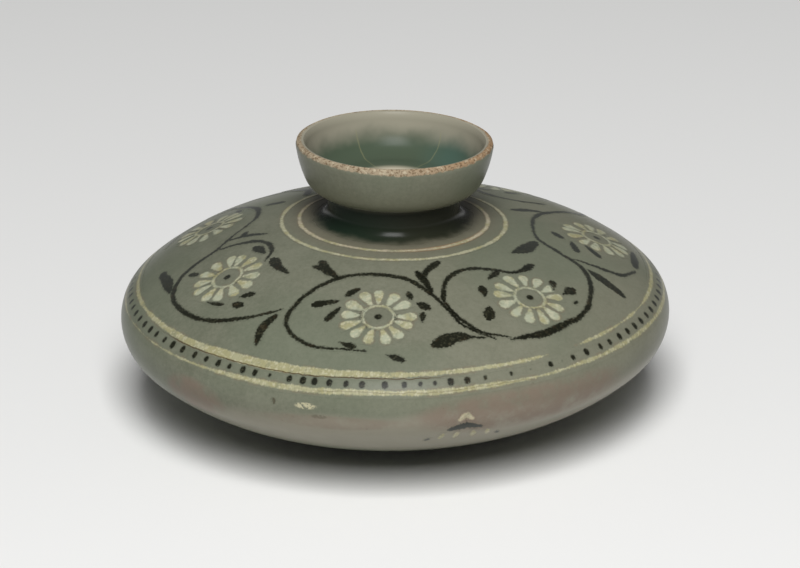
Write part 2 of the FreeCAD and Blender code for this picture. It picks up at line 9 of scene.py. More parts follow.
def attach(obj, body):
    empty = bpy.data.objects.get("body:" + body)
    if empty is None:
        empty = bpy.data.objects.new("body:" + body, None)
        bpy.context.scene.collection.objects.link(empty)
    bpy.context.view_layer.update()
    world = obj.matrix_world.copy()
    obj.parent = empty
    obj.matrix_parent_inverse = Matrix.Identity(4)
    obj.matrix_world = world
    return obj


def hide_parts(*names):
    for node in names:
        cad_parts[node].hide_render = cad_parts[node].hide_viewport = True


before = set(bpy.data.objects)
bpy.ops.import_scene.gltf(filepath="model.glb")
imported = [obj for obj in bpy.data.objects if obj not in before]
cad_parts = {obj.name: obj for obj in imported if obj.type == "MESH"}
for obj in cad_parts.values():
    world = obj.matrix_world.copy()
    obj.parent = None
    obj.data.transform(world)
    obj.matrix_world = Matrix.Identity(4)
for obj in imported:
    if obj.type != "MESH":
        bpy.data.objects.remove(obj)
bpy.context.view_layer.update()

# Lower bowl: the belly, thrown on the wheel in grey stoneware and trimmed to a foot ring with a shallow
# recess under the base. It is glazed grey-green all over and its outline is three arcs on each side.
MM = 0.001
BODY_RADIUS = 45.0
WIDEST_HEIGHT = 16.6
WALL = 3.5
FOOT_RADIUS = 18.8
FOOT_TOP_RADIUS = 19.5
FOOT_INNER_RADIUS = 15.8
FOOT_RECESS = 1.0
TURNING_STEPS = 288
ARC_PACE = 0.55
SEAM_TURN = 0.25
SAME_PLACE = 0.001
FOOT_EDGE = 0.1
FOOT_BEVEL = 0.15
FOOT_BEVEL_HEIGHT = 0.25


def arc(centre, radius, first, last):
    """Points of one arc of an outline, from its first angle to its last in degrees."""
    steps = max(3, round(abs(math.radians(last - first)) * radius / ARC_PACE))
    turns = [math.radians(first + (last - first) * step / steps) for step in range(steps + 1)]
    return [centre + radius * Vector((math.cos(turn), math.sin(turn))) for turn in turns]


class BowlSide:
    """Outline of a bowl from the widest circle up (1) or down (-1): three arcs that pass smoothly on."""

    def __init__(self, side, radii, turns):
        self.side, self.radii, self.turns = side, radii, turns
        self.centres = [Vector((BODY_RADIUS - radii[0], 0))]
        for before, after, turn in zip(radii, radii[1:], turns):
            turn = math.radians(turn)
            step = (after - before) * Vector((math.cos(turn), math.sin(turn)))
            self.centres.append(self.centres[-1] - step)

    def turn_at(self, reach, offset=0):
        """Angle on the last arc where the outline has come in to this distance from the axis."""
        return math.degrees(math.acos((reach - self.centres[2].x) / (self.radii[2] + offset)))

    def outline(self, offset, reach):
        """Points from the widest circle to this distance from the axis, offset outwards."""
        turns = [SEAM_TURN, *self.turns, self.turn_at(reach, offset)]
        points = [Vector((BODY_RADIUS + offset, 0))]
        for centre, radius, first, last in zip(self.centres, self.radii, turns, turns[1:]):
            points += arc(centre, radius + offset, first, last)[0 if len(points) == 1 else 1:]
        return [Vector((point.x, WIDEST_HEIGHT + self.side * point.y)) for point in points]

    def nearest(self, point):
        """The place on the outside nearest to a point, and the way straight out from there."""
        reach = math.hypot(point.x, point.y)
        flat = Vector((reach, self.side * (point.z - WIDEST_HEIGHT)))
        for number in (2, 1, 0):
            arm = flat - self.centres[number]
            turn = math.degrees(math.atan2(arm.y, arm.x))
            if number == 0 or turn >= self.turns[number - 1]:
                break
        arm.normalize()
        spot = self.centres[number] + self.radii[number] * arm
        round_x, round_y = point.x / reach, point.y / reach
        place = Vector((spot.x * round_x, spot.x * round_y, WIDEST_HEIGHT + self.side * spot.y))
        return place, Vector((arm.x * round_x, arm.x * round_y, self.side * arm.y))

    def height(self, reach):
        """Height of the outside at this distance from the axis."""
        for number in (2, 1, 0):
            radius = self.radii[number]
            across = min(1, (reach - self.centres[number].x) / radius)
            turn = math.degrees(math.acos(across))
            if number == 0 or turn >= self.turns[number - 1]:
                break
        rise = self.centres[number].y + radius * math.sin(math.radians(turn))
        return WIDEST_HEIGHT + self.side * rise


belly = BowlSide(-1, (6.82, 35.96, 63.7), (48.1, 65.4))
dome = BowlSide(1, (6.26, 34.95, 67.9), (48.6, 66.3))


def turned(name, outline):
    """Clay turned on the wheel: its outline, extruded point by point and spun about the axis."""
    bpy.ops.object.select_all(action="DESELECT")
    bpy.ops.mesh.primitive_plane_add(size=MM, location=(0, 0, 0))
    bpy.ops.object.mode_set(mode="EDIT")
    bpy.ops.mesh.select_all(action="SELECT")
    bpy.ops.mesh.merge(type="CENTER")
    bpy.ops.transform.translate(value=(outline[0].x * MM, 0, outline[0].y * MM))
    for before, after in zip(outline, outline[1:]):
        step = (after - before) * MM
        bpy.ops.mesh.extrude_vertices_move(TRANSFORM_OT_translate={"value": (step.x, 0, step.y)})
    bpy.ops.mesh.select_all(action="SELECT")
    bpy.ops.mesh.spin(steps=TURNING_STEPS, angle=2 * math.pi, center=(0, 0, 0), axis=(0, 0, 1))
    bpy.ops.mesh.select_all(action="SELECT")
    bpy.ops.mesh.remove_doubles(threshold=SAME_PLACE * MM)
    bpy.ops.mesh.normals_make_consistent(inside=False)
    bpy.ops.object.mode_set(mode="OBJECT")
    piece = bpy.context.object
    piece.name = name
    return piece


class Socket:
    """An output of a material's nodes. Sums and products on it add Math nodes."""

    def __init__(self, tree, output):
        self.tree, self.output = tree, output

    def node(self, kind, settings, inputs, output=0):
        """Adds a node with its settings, ramp stops among them, and the values or links of its inputs."""
        node = self.tree.nodes.new(kind)
        for name, value in settings.items():
            if name == "stops":
                elements = node.color_ramp.elements
                while len(elements) < len(value):
                    elements.new(1)
                for element, (position, colour) in zip(elements, value):
                    element.position, element.color = position, (*colour, 1)
            else:
                setattr(node, name, value)
        for name, value in inputs.items():
            if isinstance(value, Socket):
                self.tree.links.new(value.output, node.inputs[name])
            else:
                node.inputs[name].default_value = value
        return Socket(self.tree, node.outputs[output])

    def math(self, operation, *values):
        return self.node("ShaderNodeMath", {"operation": operation}, dict(enumerate(values)))

    def __add__(self, other):
        return self.math("ADD", self, other)

    def __sub__(self, other):
        return self.math("SUBTRACT", self, other)

    def __rsub__(self, other):
        return self.math("SUBTRACT", other, self)

    def __mul__(self, other):
        return self.math("MULTIPLY", self, other)

    def __truediv__(self, other):
        return self.math("DIVIDE", self, other)

    __radd__ = __add__
    __rmul__ = __mul__

    def most(self, other):
        return self.math("MAXIMUM", self, other)

    def least(self, other):
        return self.math("MINIMUM", self, other)

    def size(self):
        return self.math("ABSOLUTE", self)

    def rise(self, low, high):
        """0 below low, 1 above high and smooth between. With low above high it falls."""
        inputs = {"Value": self, "From Min": low, "From Max": high}
        return self.node("ShaderNodeMapRange", {"interpolation_type": "SMOOTHSTEP"}, inputs)

    def hump(self, middle, reach):
        """1 in the middle, falling smoothly to 0 at this reach to each side."""
        return (self - middle).size().rise(reach, 0)

    def cloud(self, scale, detail=2.0, rough=0.5, seed=0.0):
        """Even noise about 0.5, with so many features to the millimetre."""
        inputs = {"Vector": self, "W": seed, "Scale": scale, "Detail": detail, "Roughness": rough}
        return self.node("ShaderNodeTexNoise", {"noise_dimensions": "4D"}, inputs)


def paint(red, green, blue):
    """A colour written in the photograph's own 0 to 255 scale."""
    shares = [value / 255 for value in (red, green, blue)]
    return (*[share / 12.92 if share <= 0.04045 else ((share + 0.055) / 1.055) ** 2.4 for share in shares], 1)


POOL_TOP = 37.4
GLAZE_ROUGHNESS = 0.3
GLAZE_SHINE = 0.1
POOL_GLOSS = -0.08
RIPPLES_PER_MM = 0.9
RIPPLE_STRENGTH = 0.06
RIPPLE_DEPTH = 0.1
SMOOTH_ANGLE = 32


class Glaze:
    """The bottle's glaze as it lies on the clay, read from the place on the object."""

    def __init__(self, name):
        self.material = bpy.data.materials.new(name)
        self.material.use_nodes = True
        tree = self.material.node_tree
        self.shader = tree.nodes["Principled BSDF"]
        start = Socket(tree, None)
        place = start.node("ShaderNodeTexCoord", {}, {}, output="Object")
        in_mm = {"Vector": place, "Scale": (1 / MM, 1 / MM, 1 / MM)}
        self.spot = start.node("ShaderNodeMapping", {}, in_mm)
        axes = [start.node("ShaderNodeSeparateXYZ", {}, {0: self.spot}, output=i) for i in range(3)]
        self.x, self.y, self.z = axes
        self.reach = self.x.math("SQRT", self.x * self.x + self.y * self.y)
        self.round = self.x.math("DEGREES", self.x.math("ARCTAN2", self.x, self.y * -1))
        self.start = start

    def link(self, name, value):
        value.tree.links.new(value.output, self.shader.inputs[name])

    def written(self, name):
        """A number written on the piece's points, such as how far they lie in from a stroke's edge."""
        return self.start.node("ShaderNodeAttribute", {"attribute_name": name}, {}, output=2)

    def mixed(self, mask, over, under):
        """One colour over another where the mask is 1."""
        return self.start.node("ShaderNodeMix", {"data_type": "RGBA"}, {0: mask, 6: under, 7: over}, output=2)

    def patch(self, azimuth, half_wide, height, half_high):
        """A soft-edged patch round the body, in degrees and millimetres."""
        side = (self.round - azimuth) / half_wide
        level = (self.z - height) / half_high
        away = side * side + level * level
        return (away + self.broad * 0.9).rise(1.5, 0.5)

    def body_colour(self):
        """Grey-green glaze, mottled, greener where thick, pinker where it burnt thin, dark round the neck
        where the glaze pooled and where painted shade from the cup falls; painted lighter on the right side,
        and painted light from the floor brightens the lower front of the belly.
        """
        self.broad = self.spot.cloud(0.07, 3.0) - 0.5
        middling = self.spot.cloud(0.35, 3.0, seed=2.0) - 0.5
        fine = self.spot.cloud(1.5, 4.0, 0.7, seed=4.0) - 0.5
        shade = (self.broad * 0.7 + middling * 0.5 + fine * 1.0).rise(-0.46, 0.46)
        colour = self.mixed(shade, paint(117, 118, 103), paint(94, 97, 82))
        # Painted light: the glaze is painted lighter towards the right side.
        painted_light_right = self.x.rise(-38, 44)
        colour = self.mixed(painted_light_right * 0.4, paint(120, 118, 102), colour)
        green = self.spot.cloud(0.045, 2.0, seed=7.0).rise(0.42, 0.66)
        colour = self.mixed(green * 0.4, paint(94, 103, 86), colour)
        # Painted light: the lower front of the belly is painted paler for light bounced up from the floor.
        pale = self.patch(12, 60, 11.5, 4.5)
        colour = self.mixed(pale * 0.75, paint(142, 137, 123), colour)
        pink = self.patch(29, 24, 15.4, 3.4).most(self.patch(-46, 8, 14.5, 3.0))
        pink = pink.most(self.patch(-12, 16, 14.7, 1.2) * 0.6)
        pink = pink * self.spot.cloud(0.3, 4.0, 0.65, seed=9.0).rise(0.24, 0.6)
        colour = self.mixed(pink * 0.7, paint(118, 102, 90), colour)
        chalk = self.patch(-18.4, 2.1, 17.3, 0.5) * self.spot.cloud(1.8, 3.0, 0.6, seed=10.0).rise(0.4, 0.52)
        colour = self.mixed(chalk * 0.85, paint(178, 172, 142), colour)
        scar = self.patch(-25.3, 0.6, 17.4, 0.55).most(self.patch(-15.6, 1.5, 15.7, 0.35) * 0.5)
        scar = scar * self.spot.cloud(2.2, 2.0, seed=12.0).rise(0.36, 0.5)
        colour = self.mixed(scar * 0.75, paint(66, 60, 46), colour)
        specks = self.spot.cloud(4.0, 1.0, seed=11.0).rise(0.69, 0.76)
        colour = self.mixed(specks * 0.4, paint(78, 72, 56), colour)
        ragged = (self.spot.cloud(0.4, 2.0, seed=13.0) - 0.5) * 1.8
        below_cup = self.z.rise(POOL_TOP + 1.0, POOL_TOP - 0.8)
        worn = (self.reach + ragged).rise(20, 14).least(below_cup)
        colour = self.mixed(worn * 0.6, paint(103, 97, 82), colour)
        # Round the neck the glaze pooled thick, and the shade under the cup is painted into the same
        # near-black ring: partly real glaze, partly painted shade.
        thick_and_shaded = (self.reach + ragged).rise(15.2, 11.6)
        pool_and_shade = (thick_and_shaded * thick_and_shaded).least(below_cup)
        self.roughness = pool_and_shade * POOL_GLOSS + GLAZE_ROUGHNESS
        pool_and_shade_colour = self.mixed(self.x.rise(-9, 5), paint(32, 35, 26), paint(18, 34, 25))
        colour = self.mixed(pool_and_shade * 0.96, pool_and_shade_colour, colour)
        return colour

    def finish(self, colour):
        """Colour, gloss and a faint ripple on the glaze's surface."""
        ripple = self.spot.cloud(RIPPLES_PER_MM, 2.0, seed=17.0)
        bump = {"Height": ripple, "Strength": RIPPLE_STRENGTH, "Distance": RIPPLE_DEPTH * MM}
        self.link("Base Color", colour)
        self.link("Normal", self.start.node("ShaderNodeBump", {}, bump))
        self.link("Roughness", self.roughness)
        self.shader.inputs["Specular IOR Level"].default_value = GLAZE_SHINE
        return self.material


def fixed(piece, material, node):
    """Gives a piece its finish and lets it stand for its CAD node."""
    piece.data.materials.clear()
    piece.data.materials.append(material)
    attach(piece, "root")
    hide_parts(node)


def smoothed(piece):
    bpy.ops.object.select_all(action="DESELECT")
    piece.select_set(True)
    bpy.context.view_layer.objects.active = piece
    bpy.ops.object.shade_smooth_by_angle(angle=math.radians(SMOOTH_ANGLE))


floor_reach = belly.centres[2].x
inside = belly.outline(-WALL, floor_reach)[::-1]
lower_outline = belly.outline(0, FOOT_TOP_RADIUS)
lower_outline += [
    Vector((FOOT_RADIUS + FOOT_BEVEL, FOOT_BEVEL_HEIGHT)),
    Vector((FOOT_RADIUS - FOOT_EDGE, 0)),
    Vector((FOOT_INNER_RADIUS + FOOT_EDGE, 0)),
    Vector((FOOT_INNER_RADIUS, FOOT_BEVEL)),
    Vector((FOOT_INNER_RADIUS, FOOT_RECESS)),
    Vector((0, FOOT_RECESS)),
]
lower_bowl = turned("belly", [Vector((0, inside[0].y))] + inside + lower_outline)
lower_glaze = Glaze("belly_glaze")
fixed(lower_bowl, lower_glaze.finish(lower_glaze.body_colour()), "lower_bowl")
smoothed(lower_bowl)

# Upper bowl: the low shoulder dome, luted rim to rim on the lower bowl while the clay was soft and cut flat
# in the middle where the neck stands. The glaze has run off it and pooled dark round the neck, and painted
# shade under the cup darkens the same ring.
NECK_BASE_RADIUS = 13.0
THROAT_RADIUS = 5.0
seat_height = dome.height(NECK_BASE_RADIUS)
upper_outline = dome.outline(0, NECK_BASE_RADIUS)
ceiling = dome.outline(-WALL, THROAT_RADIUS)[::-1]
upper_bowl = turned("shoulder_dome", upper_outline + [Vector((THROAT_RADIUS, seat_height))] + ceiling
                    + [upper_outline[0]])

LEAN_RIGHT = math.radians(1.7)
LEAN_BACK = math.radians(0.9)
LEAN_FOOT = 27.5
LEAN_TOP = 32.4


def lean(point):
    """The neck and cup sank a little to the right and back in the kiln, and drew the shoulder with them."""
    share = min(1, max(0, (point.z / MM - LEAN_FOOT) / (LEAN_TOP - LEAN_FOOT)))
    share = share * share * (3 - 2 * share)
    rise = point.z - seat_height * MM
    drop = -point.x * LEAN_RIGHT - point.y * LEAN_BACK
    return point + share * Vector((rise * LEAN_RIGHT, rise * LEAN_BACK, drop))


def leaned(piece):
    for vertex in piece.data.vertices:
        vertex.co = lean(vertex.co)


leaned(upper_bowl)
upper_glaze = Glaze("shoulder_glaze")
fixed(upper_bowl, upper_glaze.finish(upper_glaze.body_colour()), "upper_bowl")
smoothed(upper_bowl)

# Neck: a short waisted ring of the same stoneware, thrown apart and luted with slip on the cut middle of the
# shoulder. The throat runs through it, and it is thickly glazed at its foot; its near-black colour is partly
# that pooled glaze and partly painted shade under the cup.
NECK_RADIUS = 10.75
NECK_BASE_ARC = 2.2
NECK_LENGTH = 4.9
CUP_SEAT_RADIUS = 10.95
cup_seat = seat_height + NECK_LENGTH
flare_height = math.sqrt(NECK_BASE_ARC ** 2 - (NECK_BASE_ARC - NECK_BASE_RADIUS + NECK_RADIUS) ** 2)
flare_middle = Vector((NECK_RADIUS + NECK_BASE_ARC, seat_height + flare_height))
flare_start = 180 + math.degrees(math.asin(flare_height / NECK_BASE_ARC))
neck = turned("neck_ring", [
    Vector((THROAT_RADIUS, seat_height)),
    *arc(flare_middle, NECK_BASE_ARC, flare_start, 180),
    Vector((CUP_SEAT_RADIUS, cup_seat)),
    Vector((THROAT_RADIUS, cup_seat)),
    Vector((THROAT_RADIUS, seat_height)),
])
leaned(neck)
neck_glaze = Glaze("neck_glaze")
fixed(neck, neck_glaze.finish(neck_glaze.body_colour()), "neck")
smoothed(neck)

# Mouth cup: a small round-sided bowl with a pierced floor, luted on the neck. Its lip was wiped bare of
# glaze and burnt tan, and inside the glaze is thin at the rim and thick and greener half way down.
CUP_HEIGHT = 7.7
RIM_RADIUS = 16.05
CUP_WALL_ARC = 20.6
CUP_ROUND_ARC = 3.9
RIM_TURN = 7.9
CUP_FLOOR = 1.8
CUP_CORNER_ARC = 4.6
THROAT_EDGE_ARC = 0.6
LIP_ARC = 0.78
CUP_CRACKS = (205, 146)
rim_height = cup_seat + CUP_HEIGHT
rim_way = Vector((math.cos(math.radians(RIM_TURN)), -math.sin(math.radians(RIM_TURN))))
rim_spot = Vector((RIM_RADIUS, rim_height))
side_middle = rim_spot - CUP_WALL_ARC * rim_way
lip_middle = rim_spot - LIP_ARC * rim_way
cup_floor = cup_seat + CUP_FLOOR


def rounded_foot(side_arc, foot_arc, level):
    """Where the cup's side passes into an arc that ends level on its seat: the arc's middle and angle."""
    drop = side_middle.y - level - foot_arc
    reach = math.sqrt((side_arc - foot_arc) ** 2 - drop ** 2)
    return side_middle + Vector((reach, -drop)), -math.degrees(math.atan2(drop, reach))


round_middle, round_turn = rounded_foot(CUP_WALL_ARC, CUP_ROUND_ARC, cup_seat)
corner_side = CUP_WALL_ARC - 2 * LIP_ARC
corner_middle, corner_turn = rounded_foot(corner_side, CUP_CORNER_ARC, cup_floor)
edge_middle = Vector((THROAT_RADIUS + THROAT_EDGE_ARC, cup_floor - THROAT_EDGE_ARC))
mouth_cup = turned("cup", [
    Vector((THROAT_RADIUS, cup_seat)),
    *arc(round_middle, CUP_ROUND_ARC, -90, round_turn),
    *arc(side_middle, CUP_WALL_ARC, round_turn, -RIM_TURN)[1:],
    *arc(lip_middle, LIP_ARC, -RIM_TURN, 180 - RIM_TURN)[1:],
    *arc(side_middle, corner_side, -RIM_TURN, corner_turn)[1:],
    *arc(corner_middle, CUP_CORNER_ARC, corner_turn, -90)[1:],
    *arc(edge_middle, THROAT_EDGE_ARC, 90, 180),
    Vector((THROAT_RADIUS, cup_seat)),
])
leaned(mouth_cup)


def cup_colour(glaze):
    """The body's glaze outside, thin and beige inside the rim, green lower down, a bare tan lip, and painted
    light on the floor round the throat.
    """
    colour = glaze.body_colour()
    rise = glaze.z - seat_height
    level = glaze.z + glaze.x * LEAN_RIGHT + glaze.y * LEAN_BACK
    across, back = glaze.x - rise * LEAN_RIGHT, glaze.y - rise * LEAN_BACK
    reach = across.math("SQRT", across * across + back * back)
    lower = level.rise(cup_seat + 1.5, cup_seat + 5.5)
    colour = glaze.mixed((1 - lower) * 0.35, paint(104, 104, 84), colour)
    sunk = level - side_middle.y
    wall = level.math("SQRT", (CUP_WALL_ARC - LIP_ARC) ** 2 - sunk * sunk) + side_middle.x
    above_foot = level.rise(cup_floor + 0.3, cup_floor + 0.5).most(reach.rise(12.2, 11.6))
    within = (wall - reach).rise(-0.05, 0.05) * above_foot * level.rise(cup_seat + 0.2, cup_seat + 0.4)
    low = level + (glaze.spot.cloud(0.25, 2.0, seed=21.0) - 0.5) * 2.4
    blue = glaze.x.hump(9.5, 7) * glaze.y.hump(8, 9)
    green = glaze.mixed(blue * 0.8, paint(66, 88, 79), paint(70, 81, 66))
    thin = (low + across.size() * 0.02).rise(rim_height - 4.2, rim_height - 0.6)
    inside_colour = glaze.mixed(thin, paint(148, 144, 128), green)
    # Painted light: the floor round the throat is painted pale, partly thin glaze and partly the light it
    # catches from above.
    floor = level.rise(cup_floor + 0.6, cup_floor + 0.1) * reach.rise(7.4, 5.2)
    inside_colour = glaze.mixed(floor * 0.9, paint(176, 168, 148), inside_colour)
    for azimuth in CUP_CRACKS:
        turn = math.radians(azimuth)
        stray = (glaze.spot.cloud(0.5, 2.0) - 0.5) * 0.5
        off = (glaze.x * math.cos(turn) + glaze.y * math.sin(turn) + stray).size()
        outward = (glaze.x * math.sin(turn) - glaze.y * math.cos(turn)).rise(0, 2)
        crack = off.rise(0.16, 0.04) * outward * level.rise(rim_height - 1.2, rim_height - 2.4)
        inside_colour = glaze.mixed(crack * 0.3, paint(136, 134, 98), inside_colour)
    colour = glaze.mixed(within, inside_colour, colour)
    ragged = (glaze.spot.cloud(1.2, 3.0, seed=23.0) - 0.5) * 0.9
    outer_half = (reach - wall + ragged * 0.6).rise(-0.35, 0.05)
    lip = (level + ragged - across.size() * 0.025).rise(rim_height - 0.22, rim_height + 0.06) * outer_half
    warm = (glaze.x + (glaze.spot.cloud(0.2, 2.0, seed=25.0) - 0.5) * 14).rise(-3, 16)
    bare = glaze.mixed(warm, paint(150, 124, 96), paint(152, 138, 116))
    speck = glaze.spot.cloud(2.3, 3.0, 0.7, seed=27.0).rise(0.49, 0.6)
    bare = glaze.mixed(speck * 0.8, paint(96, 76, 54), bare)
    light = glaze.spot.cloud(1.6, 2.0, seed=29.0).rise(0.54, 0.66)
    bare = glaze.mixed(light * 0.55, paint(184, 174, 150), bare)
    glaze.roughness = glaze.roughness + lip * 0.4
    return glaze.mixed(lip, bare, colour)


cup_glaze = Glaze("cup_glaze")
fixed(mouth_cup, cup_glaze.finish(cup_colour(cup_glaze)), "mouth_cup")
smoothed(mouth_cup)

# Two white rings round the neck: grooves cut in the leather-hard shoulder while the bottle turned on the
# wheel, filled with white slip and scraped level before glazing.
LINE_LIFT = 0.03
LINE_DEPTH = 0.3
LINE_MARGIN = 0.3
LINE_CELLS = 8
RING_WIDTH = 0.5
RING_REACHES = {"inner": 15.4, "outer": 18.3}
WHITE_GRAIN = 2.6


def slip_line(name, bowl, number, turn, width):
    """A line of slip all the way round, square to the bowl's arc of this number at this angle."""
    radius = bowl.radii[number]
    half = width / 2 + LINE_MARGIN
    shares = [2 * cell / LINE_CELLS - 1 for cell in range(LINE_CELLS + 1)]
    outline = []
    for shift, way in ((LINE_LIFT, 1), (-LINE_DEPTH, -1)):
        for share in shares[::way]:
            angle = math.radians(turn) + share * half / radius
            spot = bowl.centres[number] + (radius + shift) * Vector((math.cos(angle), math.sin(angle)))
            outline.append(Vector((spot.x, WIDEST_HEIGHT + bowl.side * spot.y)))
    line = turned(name, outline + outline[:1])
    across = line.data.attributes.new("across", "FLOAT", "POINT")
    middle = bowl.centres[number]
    for vertex, value in zip(line.data.vertices, across.data):
        spot = vertex.co / MM
        flat = Vector((math.hypot(spot.x, spot.y), bowl.side * (spot.z - WIDEST_HEIGHT))) - middle
        value.value = (math.atan2(flat.y, flat.x) - math.radians(turn)) * radius
    leaned(line)
    return line


def white_over(glaze, depth, colour, yellow=0.0, tint=(160, 164, 142)):
    """White slip where depth, in millimetres in from its edge, is above nothing: cream, cloudy and grainy."""
    halo = depth.rise(-0.5, -0.12) * glaze.spot.cloud(0.45, 2.0, seed=30.0).rise(0.45, 0.62)
    colour = glaze.mixed(halo * 0.35, paint(112, 98, 80), colour)
    grain = glaze.spot.cloud(WHITE_GRAIN, 3.0, 0.6, seed=31.0) - 0.5
    mask = (depth + grain * 0.6).rise(-0.14, 0.2)
    tone = (glaze.spot.cloud(0.4, 2.0, seed=33.0) + yellow).rise(0.4, 0.66)
    slip = glaze.mixed(tone, paint(150, 146, 110), paint(*tint))
    faded = glaze.spot.cloud(1.1, 3.0, seed=35.0).rise(0.48, 0.7)
    slip = glaze.mixed(faded * 0.6, paint(122, 124, 103), slip)
    bright = glaze.spot.cloud(2.1, 2.0, seed=36.0).rise(0.5, 0.64)
    slip = glaze.mixed(bright * 0.6, paint(184, 180, 154), slip)
    return glaze.mixed(mask * 0.9, slip, colour)


RING_TINTS = {"inner": (166, 156, 134), "outer": (162, 160, 134)}

for word, reach in RING_REACHES.items():
    ring = slip_line(f"ring_{word}", dome, 2, dome.turn_at(reach), RING_WIDTH)
    glaze = Glaze(f"ring_{word}_slip")
    across = glaze.written("across")
    wander = (glaze.spot.cloud(0.12, 2.0, seed=37.0) - 0.5) * 0.5
    swell = (glaze.spot.cloud(0.3, 3.0, seed=39.0) - 0.5) * 0.5
    depth = RING_WIDTH / 2 + 0.07 + swell - (across - wander).size()
    colour = glaze.body_colour()
    if word == "inner":
        burnt = (glaze.round - 34).size().rise(44, 6) * depth.rise(-0.5, -0.1)
        colour = glaze.mixed(burnt * 0.7, paint(140, 112, 82), colour)
    fixed(ring, glaze.finish(white_over(glaze, depth, colour, tint=RING_TINTS[word])),
          f"shoulder_ring_{word}")
    smoothed(ring)

# Band round the body: two wheel-cut white lines just above the widest circle, near the joint of the two
# bowls. The upper is thick on the left of the front and worn through on its right, and both are crackled.
BAND_WIDTH = 1.4
BAND_TURNS = {"upper": (1, 50.4), "lower": (0, 30.6)}

for word, (number, turn) in BAND_TURNS.items():
    band = slip_line(f"band_{word}", dome, number, turn, BAND_WIDTH)
    glaze = Glaze(f"band_{word}_slip")
    across = glaze.written("across")
    wander = (glaze.spot.cloud(0.1, 2.0, seed=41.0) - 0.5) * 0.45
    swell = (glaze.spot.cloud(0.25, 3.0, seed=43.0) - 0.5) * 0.7
    streaky = glaze.start.node("ShaderNodeCombineXYZ", {}, {0: glaze.round * 0.785, 1: across * 0.18})
    streaks = streaky.cloud(2.6, 2.0, 0.6, seed=45.0) - 0.5
    if word == "upper":
        half = glaze.round.hump(-30, 46) * 0.46 + 0.33
        worn = glaze.round.hump(38.5, 7.5) * 0.9 + glaze.round.hump(60, 26) * 0.2
        cracked = glaze.round.hump(-24, 44).rise(0.0, 0.3) * 0.85
        crack_line = -0.72
    else:
        half = glaze.round.hump(-6, 40) * 0.1 + 0.34
        worn = glaze.round.hump(-70, 46) * 0.3 + glaze.round.hump(36, 18) * 0.14
        cracked = glaze.round.hump(6, 30).rise(0.0, 0.3) * 0.3
        crack_line = 0.0
    depth = half - worn + swell + streaks * 0.45 - (across - wander).size()
    colour = white_over(glaze, depth, glaze.body_colour(), 0.1, (158, 156, 126))
    gaps = streaks.rise(0.02, -0.16) * depth.rise(0.0, 0.2)
    colour = glaze.mixed(gaps * 0.45, paint(128, 124, 96), colour)
    stray = (glaze.spot.cloud(0.9, 2.0, seed=47.0) - 0.5) * 0.5
    crack = (across - wander * 1.6 - crack_line + stray).size().rise(0.15, 0.04)
    colour = glaze.mixed(crack * cracked, paint(70, 54, 34), colour)
    fixed(band, glaze.finish(colour), f"band_line_{word}")
    smoothed(band)

# Row of dots between the band's lines: each was pressed in with a small round punch, filled with black slip
# and scraped level. Some at the right of the front are worn small or gone.
DOT_RADIUS = 0.5
DOT_TURN = 43.0
DOT_COUNT = 105
DOT_CORNERS = 14
BLACK_GRAIN = 2.8
SOFT_GRAIN = 0.5
HAND_SEED = 7
DOT_STRAY = 0.5
DOT_RISES = (-0.2, -0.07, 0.07, 0.2)
PAD_MARGIN = 0.32
FIELD_REACH = 3.0
FRONT_DOTS = [-47, -43.5, -40, -37, -33.5, -30.5, -27, -22.5, -19.5, -17, -13.8, -10.3, -7, -2.3, 1.7, 5,
              8, 11.3, 14.8, 18.7, 24.5, 29, 34, 37, 40, 44, 48.3]
WORN_DOTS = {-37: 0.75, -27: 0.5, 5: 0.65, 8: 0.6, 18.7: 0.6, 24.5: 0.65, 29: 0.1, 34: 0.8, 37: 0.1}
dot_pace = 360 / DOT_COUNT
noise.seed_set(HAND_SEED)


def black_over(glaze, depth, colour, rough=1.05):
    """Black slip where depth is above nothing: olive black, grainy at its edge and thin in its middle, greyed
    by painted sheen towards the back and greyer low on the belly.
    """
    grain = glaze.spot.cloud(BLACK_GRAIN, 3.0, 0.65, seed=51.0) - 0.5
    halo = (depth + grain * rough).rise(-0.34, 0.05)
    colour = glaze.mixed(halo * 0.3, paint(70, 72, 60), colour)
    mask = (depth + grain * rough).rise(-0.12, 0.16)
    thin = glaze.spot.cloud(2.8, 2.0, 0.6, seed=53.0).rise(0.52, 0.64) * depth.rise(0.0, 0.25)
    slip = glaze.mixed(thin * 0.4, paint(76, 75, 58), paint(19, 20, 12))
    rusty = glaze.spot.cloud(0.8, 2.0, seed=55.0).rise(0.56, 0.68)
    slip = glaze.mixed(rusty * 0.2, paint(66, 48, 30), slip)
    # Painted sheen: the black slip is painted grey towards the back, where the glaze is seen at a slant, and
    # it is also greyer low on the belly.
    painted_sheen_and_grey = (glaze.y.rise(-26, 4) * 0.55).most(glaze.z.rise(16, 13) * 0.8)
    slip = glaze.mixed(painted_sheen_and_grey, paint(74, 77, 74), slip)
    return glaze.mixed(mask * 0.96, slip, colour)


def pad_field(piece, samples):
    """Writes how far each point of a pad lies in from the edge of its strokes, in millimetres."""
    tree = kdtree.KDTree(len(samples))
    for number, (place, half) in enumerate(samples):
        tree.insert(place, number)
    tree.balance()
    depth = piece.data.attributes.new("depth", "FLOAT", "POINT")
    for vertex, value in zip(piece.data.vertices, depth.data):
        near = tree.find_range(vertex.co, FIELD_REACH)
        value.value = max([samples[number][1] - gap for place, number, gap in near], default=-1.0)


